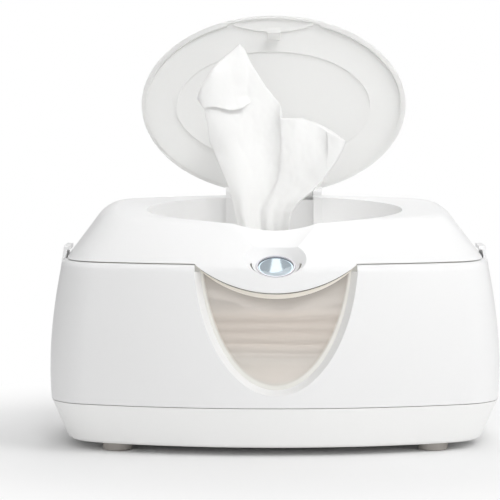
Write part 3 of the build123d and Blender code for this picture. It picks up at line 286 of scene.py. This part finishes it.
def feed(tree, socket, value):
    """Set a socket to a value, or join another node's output to it."""
    if isinstance(value, bpy.types.NodeSocket):
        tree.links.new(value, socket)
    else:
        socket.default_value = value


def shader_node(tree, kind, **sockets):
    """A new shader node, with its sockets fed by their names, where _ stands for a space."""
    made = tree.nodes.new("ShaderNode" + kind)
    for socket, value in sockets.items():
        feed(tree, made.inputs[socket.replace("_", " ")], value)
    return made


def node_maths(tree, operation, first, second):
    """Two values, each a number or another node's output, put together by a maths node."""
    made = tree.nodes.new("ShaderNodeMath")
    made.operation = operation
    feed(tree, made.inputs[0], first)
    feed(tree, made.inputs[1], second)
    return made.outputs["Value"]


def ranged(tree, value, low, high, to_low=0.0, to_high=1.0, smooth_step=False):
    """A value carried over from one range to another, and held inside it."""
    limits = {"From Min": low, "From Max": high, "To Min": to_low, "To Max": to_high}
    made = shader_node(tree, "MapRange", Value=value, **limits)
    if smooth_step:
        made.interpolation_type = "SMOOTHSTEP"
    return made.outputs["Result"]


def mixed_colour(tree, share, first, second):
    """The first colour where the share is 0, and the second where it is 1."""
    made = tree.nodes.new("ShaderNodeMix")
    made.data_type = "RGBA"
    feed(tree, made.inputs["Factor"], share)
    feed(tree, made.inputs[MIX_FIRST], first)
    feed(tree, made.inputs[MIX_SECOND], second)
    return made.outputs[MIX_RESULT]


def mixed_shader(tree, share, first, second):
    """The first shader where the share is 0, and the second where it is 1."""
    made = shader_node(tree, "MixShader", Fac=share)
    tree.links.new(first, made.inputs[1])
    tree.links.new(second, made.inputs[2])
    return made.outputs["Shader"]


def own_place(tree):
    """A surface point's own coordinates on its piece."""
    return shader_node(tree, "TexCoord").outputs["Object"]


# ================================================================== materials
def principled(name, base, roughness, **sockets):
    """A material with a plain shader, its sockets set by their names, where _ stands for a space."""
    made = bpy.data.materials.new(name)
    made.use_nodes = True
    shader = made.node_tree.nodes["Principled BSDF"]
    shader.inputs["Base Color"].default_value = base
    shader.inputs["Roughness"].default_value = roughness
    for socket, value in sockets.items():
        shader.inputs[socket.replace("_", " ")].default_value = value
    return made


def grained(material, scale, strength):
    """Give a material a fine, even surface grain."""
    tree = material.node_tree
    grain = shader_node(tree, "TexNoise", Vector=own_place(tree), Scale=scale)
    bump = shader_node(tree, "Bump", Strength=strength, Distance=GRAIN_DEPTH, Height=grain.outputs["Fac"])
    tree.links.new(bump.outputs["Normal"], tree.nodes["Principled BSDF"].inputs["Normal"])


def see_through(material, share):
    """Let a share of the light that falls on a thin sheet come out on its far side."""
    tree = material.node_tree
    shader = tree.nodes["Principled BSDF"]
    glow = shader_node(tree, "BsdfTranslucent", Color=shader.inputs["Base Color"].default_value)
    blend = mixed_shader(tree, share, shader.outputs["BSDF"], glow.outputs["BSDF"])
    tree.links.new(blend, tree.nodes["Material Output"].inputs["Surface"])


def oval_share(tree, place, half_width, half_height, centre):
    """How far out a point of the pane lies on an oval, squared: 0 at its middle and 1 on the oval."""
    across = node_maths(tree, "DIVIDE", place["X"], half_width)
    up = node_maths(tree, "DIVIDE", node_maths(tree, "SUBTRACT", place["Z"], centre), half_height)
    across_squared = node_maths(tree, "MULTIPLY", across, across)
    up_squared = node_maths(tree, "MULTIPLY", up, up)
    return node_maths(tree, "ADD", across_squared, up_squared)


def pane_material():
    """A cloudy pane with a frosted edge, a cream band along its top, and painted light that whitens it
    towards its foot.
    """
    made = principled("window", colour(240, 231, 222), roughness=0.12)
    tree = made.node_tree
    shader = tree.nodes["Principled BSDF"]
    place = shader_node(tree, "SeparateXYZ", Vector=own_place(tree)).outputs
    oval = oval_share(tree, place, PANE_HALF_WIDTH, PANE_HALF_HEIGHT, PANE_CENTRE)
    edge = ranged(tree, oval, PANE_CLEAR_TO, PANE_FROSTED_FROM, smooth_step=True)
    circle = oval_share(tree, place, BAND_RADIUS, BAND_RADIUS, BAND_CENTRE)
    band = node_maths(tree, "LESS_THAN", circle, 1.0)
    clear_tint, frosted_tint, band_tint = colour(247, 240, 232), colour(246, 245, 239), colour(236, 230, 219)
    tint = mixed_colour(tree, band, mixed_colour(tree, edge, clear_tint, frosted_tint), band_tint)
    tree.links.new(tint, shader.inputs["Base Color"])
    # Painted light: the pane whitens towards its foot.
    painted_light_low = ranged(
        tree, place["Z"], PANE_PAINTED_LIGHT_TOP, PANE_PAINTED_LIGHT_LOW, to_high=PANE_PAINTED_LIGHT_SHARE, smooth_step=True
    )
    cloudy_and_painted_light = node_maths(tree, "MAXIMUM", node_maths(tree, "MAXIMUM", edge, band), painted_light_low)
    more_hidden = node_maths(tree, "MULTIPLY", cloudy_and_painted_light, 1 - PANE_LEAST_HIDDEN)
    tree.links.new(node_maths(tree, "ADD", more_hidden, PANE_LEAST_HIDDEN), shader.inputs["Alpha"])
    return made


def shaded_smooth(mesh):
    """Shade every face of a mesh smoothly."""
    for face in mesh.polygons:
        face.use_smooth = True


def painted(mesh, material):
    """Give a CAD node's mesh a material and smooth shading, with its sharp edges kept."""
    mesh.materials.clear()
    mesh.materials.append(material)
    shaded_smooth(mesh)
    mesh.set_sharp_from_angle(angle=math.radians(SHARP_ANGLE))


def dress():
    """Materials on the CAD nodes."""
    shell = principled("shell", colour(248, 248, 248), roughness=0.34, Coat_Weight=0.15, Coat_Roughness=0.2)
    grained(shell, scale=900, strength=0.04)
    inner = principled("inner", colour(252, 251, 249), roughness=0.5)
    lid = principled("lid_plastic", colour(249, 249, 248), roughness=0.4, Alpha=0.86, Specular_IOR_Level=0.3)
    see_through(lid, share=0.35)
    clear = pane_material()
    soft = principled("silicone", colour(238, 239, 239), roughness=0.45)
    rubber = principled("rubber", colour(178, 173, 168), roughness=0.75)
    # The tray is a shade whiter than the shell: painted light on the base, which gets less light from the
    # floor.
    tray = principled("tray", colour(254, 254, 253), roughness=0.36)
    chrome = principled("chrome", colour(216, 215, 220), roughness=0.14, Metallic=1.0)
    dish = principled("dish", colour(204, 217, 226), roughness=0.12, Metallic=1.0)
    steel = principled("steel", colour(170, 172, 175), roughness=0.28, Metallic=1.0)
    aluminium = principled("aluminium", colour(205, 206, 208), roughness=0.4, Metallic=1.0)
    film = principled("film", colour(196, 128, 52), roughness=0.35)
    black = principled("black", colour(38, 38, 40), roughness=0.45)
    board = principled("board", colour(38, 104, 62), roughness=0.4)
    lead = principled("lead", colour(150, 40, 34), roughness=0.5)
    looks = {
        tray: ["base_tray"],
        shell: ["tub_shell", "top_cover", "side_latch_left", "side_latch_right"],
        inner: ["inner_tub", "cover_liner", "latch_slider"],
        lid: ["lid", "lid_seal"],
        clear: ["window_pane"],
        soft: ["dispensing_ring"],
        rubber: ["rubber_feet"],
        chrome: ["button_bezel"],
        dish: ["release_button"],
        steel: [
            "base_screws", "cover_screws", "cover_hinge_pin", "lid_hinge_pin", "latch_pins",
            "lid_spring", "button_spring",
        ],
        aluminium: ["heater_plate"],
        film: ["heater_film"],
        black: ["thermal_cutoff", "dc_jack"],
        board: ["control_board"],
        lead: ["supply_leads"],
    }
    for material, names in looks.items():
        for name in names:
            painted(nodes[name].data, material)


def pulled_cloth():
    """The pulled wipe's cloth: soft, grained, and thin enough to let some light through."""
    made = principled("wipe_cloth", colour(254, 254, 253), roughness=0.85, Sheen_Weight=0.2)
    grained(made, scale=1400, strength=0.2)
    see_through(made, share=0.1)
    return made


def stacked_cloth():
    """The stack's cloth: painted light and shade by height and in its folds, and a painted glow for the light
    that comes through the shell.
    """
    made = principled("stack_cloth", colour(236, 230, 219), roughness=0.85, Sheen_Weight=0.2)
    tree = made.node_tree
    low, high = STACK_PAINTED_SHADES[0][0], STACK_PAINTED_SHADES[-1][0]
    # The colour by height paints the stack's light and shade.
    height = shader_node(tree, "SeparateXYZ", Vector=own_place(tree)).outputs["Z"]
    ramp = shader_node(tree, "ValToRGB", Fac=ranged(tree, height, low, high))
    # The ramp has two stops at first. New ones start halfway, and all get their places below.
    for _ in STACK_PAINTED_SHADES[2:]:
        ramp.color_ramp.elements.new(0.5)
    for element, (place, shade) in zip(ramp.color_ramp.elements, STACK_PAINTED_SHADES):
        element.position = (place - low) / (high - low)
        element.color = colour(*shade)
    # Painted shade in the grooves, read from each point's painted light.
    painted_light = tree.nodes.new("ShaderNodeAttribute")
    painted_light.attribute_name = "painted_light"
    dimmed = tree.nodes.new("ShaderNodeVectorMath")
    dimmed.operation = "SCALE"
    tree.links.new(ramp.outputs["Color"], dimmed.inputs[0])
    tree.links.new(ranged(tree, painted_light.outputs["Fac"], 0.0, 1.0, to_low=FOLD_SHADE), dimmed.inputs["Scale"])
    shader = tree.nodes["Principled BSDF"]
    tree.links.new(dimmed.outputs["Vector"], shader.inputs["Base Color"])
    # The cloth glows in its own colour: a painted glow for light that comes through the shell.
    tree.links.new(dimmed.outputs["Vector"], shader.inputs["Emission Color"])
    shader.inputs["Emission Strength"].default_value = PAINTED_GLOW
    return made


# ================================================================== meshes
def mesh_piece(name, points, faces, material):
    """A new smooth piece from its points, in metres, and its faces."""
    mesh = bpy.data.meshes.new(name)
    mesh.from_pydata(points, [], faces)
    mesh.materials.append(material)
    shaded_smooth(mesh)
    mesh.update()
    piece = bpy.data.objects.new(name, mesh)
    bpy.context.scene.collection.objects.link(piece)
    return piece


def thickened(piece, thickness):
    """Give a sheet its thickness."""
    thick = piece.modifiers.new("thick", "SOLIDIFY")
    thick.thickness = thickness
    thick.offset = 0.0
    graph = bpy.context.evaluated_depsgraph_get()
    mesh = bpy.data.meshes.new_from_object(piece.evaluated_get(graph))
    piece.modifiers.clear()
    piece.data = mesh
    shaded_smooth(mesh)


def in_metres(points):
    """Points in millimetres as points in metres."""
    return [(x / MM_IN_METRE, y / MM_IN_METRE, z / MM_IN_METRE) for x, y, z in points]


def grid(points, faces, across, along, place):
    """Add a grid of points place(a, b), in mm, with a and b from 0 to 1, to a mesh in the making."""
    start = len(points)
    wide = across + 1
    for j in range(along + 1):
        points += in_metres(place(i / across, j / along) for i in range(wide))
    for j in range(along):
        for i in range(across):
            corner = start + j * wide + i
            faces.append((corner, corner + 1, corner + wide + 1, corner + wide))


def between(steps, value):
    """A value read off a line of (place, size) steps."""
    for (low, a), (high, b) in zip(steps, steps[1:]):
        if value <= high:
            share = max(0.0, (value - low) / (high - low))
            return a + (b - a) * share
    return steps[-1][1]


def eased(low, high, value):
    """A smooth step from 0 at low to 1 at high."""
    share = min(1.0, max(0.0, (value - low) / (high - low)))
    return share * share * (3 - 2 * share)


def crumple(x, z, depth, size, seed):
    """A soft random rise and fall over the cloth, by up to about its depth either way."""
    return depth * noise.noise(Vector((x / size, seed, z / (CRUMPLE_STRETCH * size))))


# ================================================================== the wipe pulled up for use
def cloth_point(s, z):
    """A point of the standing cloth, from its place across, 0 to 1, and its height, in mm."""
    left = between(LEFT_EDGE, z)
    right = between(RIGHT_EDGE, z)
    x = left + (right - left) * s
    y = WIPE_Y
    for low, high, heights, count, start, turn in WAVES:
        depth = low + (high - low) * eased(*heights, z)
        y += depth * math.sin(2 * math.pi * count * s + start + turn * (z - WAVES_FROM))
    y -= PEAK_CURL * eased(*PEAK_HEIGHTS, z) * (1 - eased(*PEAK_LEFT_OF, s))
    y += SIDE_CURL * eased(*SIDE_RIGHT_OF, s) * eased(*SIDE_HEIGHTS, z)
    # One pleat: the right-hand fold lies over the tall one, and closes lower down.
    pleat_open = eased(*PLEAT_OPENS, z)
    turned = math.tanh((s - PLEAT_AT) / PLEAT_TURN)
    near = math.exp(-(((s - PLEAT_AT) / PLEAT_REACH) ** 2))
    x -= PLEAT_OVERLAP * turned * near * pleat_open
    y -= PLEAT_STEP * turned * (PLEAT_FAR + (1 - PLEAT_FAR) * near) * pleat_open
    deep = eased(*FOLDS_DEEPEN, z)
    y += sum(crumple(x, z, low + (high - low) * deep, size, seed) for low, high, size, seed in CRUMPLES)
    return x + crumple(z, x, *SIDEWAYS_CRUMPLE), y, z


def standing_point(s, top, t):
    """A point of the standing cloth, a share t of the way from the stack to a top height."""
    low = MM_IN_METRE * STACK_TOP
    return cloth_point(s, low + (top - low) * t)


def standing(s, t):
    """The whole cloth, from the stack up to its top edge."""
    return standing_point(s, between(TOP_EDGE, s), t)


def back_layer(s, t):
    """The wipe's other half, which stands close behind the first one."""
    wave = BACK_WAVE * math.sin(2 * math.pi * BACK_WAVE_COUNT * s + BACK_WAVE_START)
    x, y, z = standing_point(s, between(TOP_EDGE, s) - BACK_DROP + wave, t)
    gap = BACK_GAP_LOW + (BACK_GAP_HIGH - BACK_GAP_LOW) * eased(*BACK_GAP_HEIGHTS, z)
    return x + BACK_SHIFT * s, y + BACK_GAP_LEFT + gap * eased(*BACK_GAP_RIGHT_OF, s), z


def corner_flap(a, b):
    """The cloth's corner, folded forward and down along its top left edge."""
    s = FLAP_END * a
    top = between(TOP_EDGE, s)
    low = FLAP_LOW + FLAP_WAVE * math.sin(FLAP_WAVE_TURN * a) + FLAP_RISE * eased(*FLAP_RISE_PART, a)
    down = (top - low) * b
    x, y, z = cloth_point(s, top - down)
    lift = FLAP_LIFT * (1 - math.exp(-down / FLAP_LIFT_LENGTH)) * (1 - eased(*FLAP_LIFT_ENDS, a))
    lift = max(FLAP_LEAST_LIFT, lift + crumple(x, z, *FLAP_CRUMPLE))
    out = FLAP_OUT * (1 - a) * math.exp(-down / FLAP_OUT_LENGTH)
    return x - out, y - lift + FLAP_BACK * eased(*FLAP_BACK_PART, a), z


def side_hem(a, b):
    """The cloth's right-hand edge, folded forward."""
    s = 1.0 - (1.0 - HEM_START) * a * math.sqrt(b)
    top = between(TOP_EDGE, s) - HEM_DROP
    x, y, z = cloth_point(s, HEM_LOW + (top - HEM_LOW) * b)
    taper = eased(HEM_LOW, HEM_LOW + HEM_TAPER, z)
    lift = HEM_LIFT * (1 - math.exp(-a / HEM_LIFT_PART)) * taper + crumple(x, z, *HEM_CRUMPLE)
    return x, y - max(HEM_LEAST_LIFT, lift), z


def pulled_wipe(material):
    """The gathered cloth that rises from the dispensing ring to a soft peak."""
    points, faces = [], []
    grid(points, faces, *STANDING_CELLS, standing)
    grid(points, faces, *BACK_CELLS, back_layer)
    grid(points, faces, *FLAP_CELLS, corner_flap)
    grid(points, faces, *HEM_CELLS, side_hem)
    piece = mesh_piece("wipe_pulled_up", points, faces, material)
    thickened(piece, CLOTH_THICKNESS / MM_IN_METRE)
    return piece


# ================================================================== the stack of folded wipes
def rounded_ring(half_x, half_y, radius):
    """Points round an oblong with round corners, in mm, closely spaced along its sides."""
    corners = []
    for corner, (side_x, side_y) in enumerate([(1, 1), (-1, 1), (-1, -1), (1, -1)]):
        for k in range(CORNER_STEPS + 1):
            turn = math.pi / 2 * (corner + k / CORNER_STEPS)
            x = side_x * (half_x - radius) + radius * math.cos(turn)
            y = side_y * (half_y - radius) + radius * math.sin(turn)
            corners.append((x, y))
    points = []
    for a, b in zip(corners, corners[1:] + corners[:1]):
        steps = max(1, int(math.dist(a, b) / RING_SPACING))
        points += [(a[0] + (b[0] - a[0]) * k / steps, a[1] + (b[1] - a[1]) * k / steps) for k in range(steps)]
    return points


def layer_rings(low, height, groove, number):
    """The rings of one layer, whose edge bulges like a soft fold."""
    corner_low, corner_high = (MM_IN_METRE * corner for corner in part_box("wipe_stack"))
    middle = (corner_low + corner_high) / 2
    half_x = (corner_high.x - corner_low.x) / 2
    half_y = (corner_high.y - corner_low.y) / 2
    outline = rounded_ring(half_x, half_y, STACK_CORNER)
    rings = []
    for k in range(LAYER_RINGS):
        share = k / (LAYER_RINGS - 1)
        inset = groove * (1 - math.sqrt(max(0.0, 1 - (2 * share - 1) ** 2)))
        row = []
        for x, y in outline:
            bump = noise.noise(Vector((x / EDGE_BUMP_SIZE, y / EDGE_BUMP_SIZE, EDGE_SEED * number)))
            drawn_in = inset + max(0.0, EDGE_INSET + EDGE_BUMP * bump)
            seed = LAYER_SEED * (number + share)
            wave = noise.noise(Vector((x / LAYER_WAVE_SIZE, y / LAYER_WAVE_SIZE, seed)))
            z = low + height * share + LAYER_WAVE * wave
            row.append((middle.x + x * (1 - drawn_in / half_x), middle.y + y * (1 - drawn_in / half_y), z))
        rings.append(row)
    return rings


def closed_rings(points, faces, rings):
    """Add a solid whose side runs through rings of points, in mm, to a mesh in the making."""
    start = len(points)
    count = len(rings[0])
    for row in rings:
        points += in_metres(row)
    for k in range(len(rings) - 1):
        below = start + k * count
        for i in range(count):
            n = (i + 1) % count
            faces.append((below + i, below + n, below + count + n, below + count + i))
    faces.append(tuple(reversed(range(start, start + count))))
    faces.append(tuple(range(start + (len(rings) - 1) * count, start + len(rings) * count)))


def sagging_top(a, b):
    """The top wipe, drawn from its front edge up and back towards the ring."""
    x_front = SAG_EDGE[0][0] + (SAG_EDGE[-1][0] - SAG_EDGE[0][0]) * a
    z_front = between(SAG_EDGE, x_front)
    x = x_front * (1 - SAG_NARROWING * b)
    y = SAG_FRONT + (SAG_BACK - SAG_FRONT) * b + crumple(x_front, SAG_SHIFT_LENGTH * b, *SAG_SHIFT)
    rolled = math.sqrt(1 - (1 - min(1.0, b / SAG_ROLL_PART)) ** 2)
    z = z_front - SAG_ROLL * (1 - rolled) + (SAG_TOP - z_front) * b**SAG_RISE_POWER
    wave = SAG_WAVE * math.sin(SAG_WAVE_TURN * x_front + SAG_WAVE_START) * (1 - SAG_WAVE_LOSS * b)
    wave += crumple(x_front, SAG_CRUMPLE_LENGTH * b, *SAG_CRUMPLE)
    return x, y, z + wave * eased(*SAG_FREE, b)


def wipe_stack(material):
    """Folded wipes lying in layers, with the top one lifted towards the ring."""
    points, faces, painted_light_values = [], [], []
    level = MM_IN_METRE * STACK_LOW
    scale = MM_IN_METRE * (STACK_TOP - STACK_LOW) / sum(LAYER_HEIGHTS)
    for number, height in enumerate(LAYER_HEIGHTS):
        rings = layer_rings(level, height * scale, LAYER_GROOVE * height, number)
        closed_rings(points, faces, rings)
        # Painted light and shade: each layer is painted lightest along its bulge and darkest at its grooves.
        for k, row in enumerate(rings):
            painted_light_values += [math.sin(math.pi * (k / (LAYER_RINGS - 1)) ** LAYER_PAINTED_LIGHT_POWER)] * len(row)
        level += height * scale
    grid(points, faces, *SAG_CELLS, sagging_top)
    # The top wipe is painted lit at its front edge and in painted shade further back.
    across, along = SAG_CELLS
    for row in range(along + 1):
        painted_light_values += [1.0 - SAG_PAINTED_SHADE * eased(*SAG_PAINTED_SHADE_FALLS, row / along)] * (across + 1)
    piece = mesh_piece("wipe_stack_folds", points, faces, material)
    piece.data.attributes.new("painted_light", "FLOAT", "POINT").data.foreach_set("value", painted_light_values)
    return piece


# ================================================================== floor, room and lamps
def stage():
    """A white floor that keeps the shadow and turns to plain white further away."""
    bpy.ops.mesh.primitive_plane_add(size=FLOOR_SIZE, location=(0, 0, 0))
    floor = bpy.context.object
    floor.name = "floor"
    made = principled("floor", FLOOR_COLOUR, roughness=0.8, Specular_IOR_Level=0.1)
    tree = made.node_tree
    distance = tree.nodes.new("ShaderNodeVectorMath")
    distance.operation = "LENGTH"
    tree.links.new(own_place(tree), distance.inputs[0])
    far = ranged(tree, distance.outputs["Value"], FLOOR_LIT, FLOOR_WHITE, smooth_step=True)
    in_view = shader_node(tree, "LightPath").outputs["Is Camera Ray"]
    white = shader_node(tree, "Emission", Color=WHITE).outputs["Emission"]
    lit = tree.nodes["Principled BSDF"].outputs["BSDF"]
    blend = mixed_shader(tree, node_maths(tree, "MULTIPLY", far, in_view), lit, white)
    tree.links.new(blend, tree.nodes["Material Output"].inputs["Surface"])
    floor.data.materials.append(made)


def surroundings():
    """A white room: pure white where the camera sees it, greyer as surfaces mirror it, and dim as light."""
    world = bpy.data.worlds.new("world")
    bpy.context.scene.world = world
    world.use_nodes = True
    tree = world.node_tree
    room = tree.nodes["Background"]
    room.inputs["Color"].default_value = WHITE
    room.inputs["Strength"].default_value = ROOM_LIGHT
    seen = shader_node(tree, "Background", Color=WHITE, Strength=ROOM_SEEN)
    mirrored = shader_node(tree, "Background", Color=WHITE, Strength=ROOM_MIRRORED)
    rays = shader_node(tree, "LightPath").outputs
    around = mixed_shader(
        tree, rays["Is Glossy Ray"], room.outputs["Background"], mirrored.outputs["Background"]
    )
    all_round = mixed_shader(tree, rays["Is Camera Ray"], around, seen.outputs["Background"])
    tree.links.new(all_round, tree.nodes["World Output"].inputs["Surface"])


def lamp(name, place, aim, size, power, long=None, mirrored=False, spread=180):
    """A soft lamp turned to a point, square unless it is given a length."""
    data = bpy.data.lights.new(name, "AREA")
    data.shape = "RECTANGLE"
    data.size = size
    data.size_y = long or size
    data.energy = power
    data.spread = math.radians(spread)
    made = bpy.data.objects.new(name, data)
    made.location = place
    made.rotation_euler = (Vector(aim) - Vector(place)).to_track_quat("-Z", "Y").to_euler()
    made.visible_glossy = mirrored
    bpy.context.scene.collection.objects.link(made)


def lamps():
    """The lamps. Only the long strip, above and behind, shows in what mirrors."""
    lamp("key", (1.15, -0.7, 1.25), TUB_MIDDLE, size=1.0, power=10.4)
    lamp("fill", (-0.1, -2.1, 0.3), TUB_MIDDLE, size=1.0, power=4.9)
    lamp("top", (0.1, 0.15, 1.8), TUB_MIDDLE, size=1.1, power=4.6)
    lamp("high_front", (0.15, -0.9, 0.95), (0.02, 0.08, 0.215), size=0.35, power=0.12, spread=24)
    lamp("strip", (0.0, 0.75, 1.5), TUB_MIDDLE, size=0.34, power=3.0, long=2.8, mirrored=True)


# ================================================================== the scene
camera()
dress()
wipe = pulled_wipe(pulled_cloth())
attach(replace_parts(wipe, "pulled_wipe"), "cover")
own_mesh(wipe)
stack = wipe_stack(stacked_cloth())
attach(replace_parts(stack, "wipe_stack"), "base")
stage()
surroundings()
lamps()
bpy.context.scene.view_settings.view_transform = "Standard"
